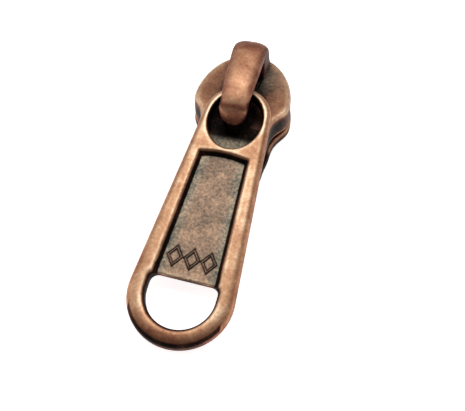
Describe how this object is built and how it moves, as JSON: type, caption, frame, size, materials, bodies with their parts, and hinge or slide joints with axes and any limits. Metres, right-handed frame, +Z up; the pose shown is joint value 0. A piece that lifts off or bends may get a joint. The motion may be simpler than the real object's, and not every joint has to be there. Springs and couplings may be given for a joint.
{
  "type": "zipper slider",
  "caption": "Zipper slider for a coil chain: two-wing body with guide wedge, arched crown, sprung lock pawl, and a long tapered pull tab with an open window.",
  "frame": {"origin": "on the underside of the lower wing, midway across the body, on the line where the body is widest", "axes": "+X across the slider, +Y towards the nose where the two tapes enter, +Z up from the lower wing to the crown"},
  "size_m": [0.0151, 0.0484, 0.0122],
  "materials": {
    "body": "antique copper plate on a die casting, worn bright on its edges, dark brown-black in recesses, satin",
    "crown": "antique copper plate, rubbed bright and smooth along the crest, satin gloss",
    "pull": "antique copper plate, bright worn rim, grey-green mottled field with dark patina along its walls, satin",
    "steel": "tinned spring steel, dull"
  },
  "bodies": {
    "slider": {"slider_body": "body", "crown": "crown", "leaf_spring": "steel"},
    "pull": {"pull_tab": "pull"},
    "pawl": {"lock_pawl": "steel"}
  },
  "joints": [
    {"name": "pull_swing", "type": "hinge", "parent": "slider", "child": "pull", "pos_m": [0.00054, -0.00006, 0.00793], "axis": [-0.9991, 0.0419, 0], "range_deg": [0, 160]},
    {"name": "pawl_lift", "type": "hinge", "parent": "slider", "child": "pawl", "pos_m": [0, 0.0057, 0.00945], "axis": [-1, 0, 0], "range_deg": [0, 5.5], "stiffness_Nm_per_rad": 0.01, "springref_deg": -28.65, "deforming": ["leaf_spring"]}
  ]
}
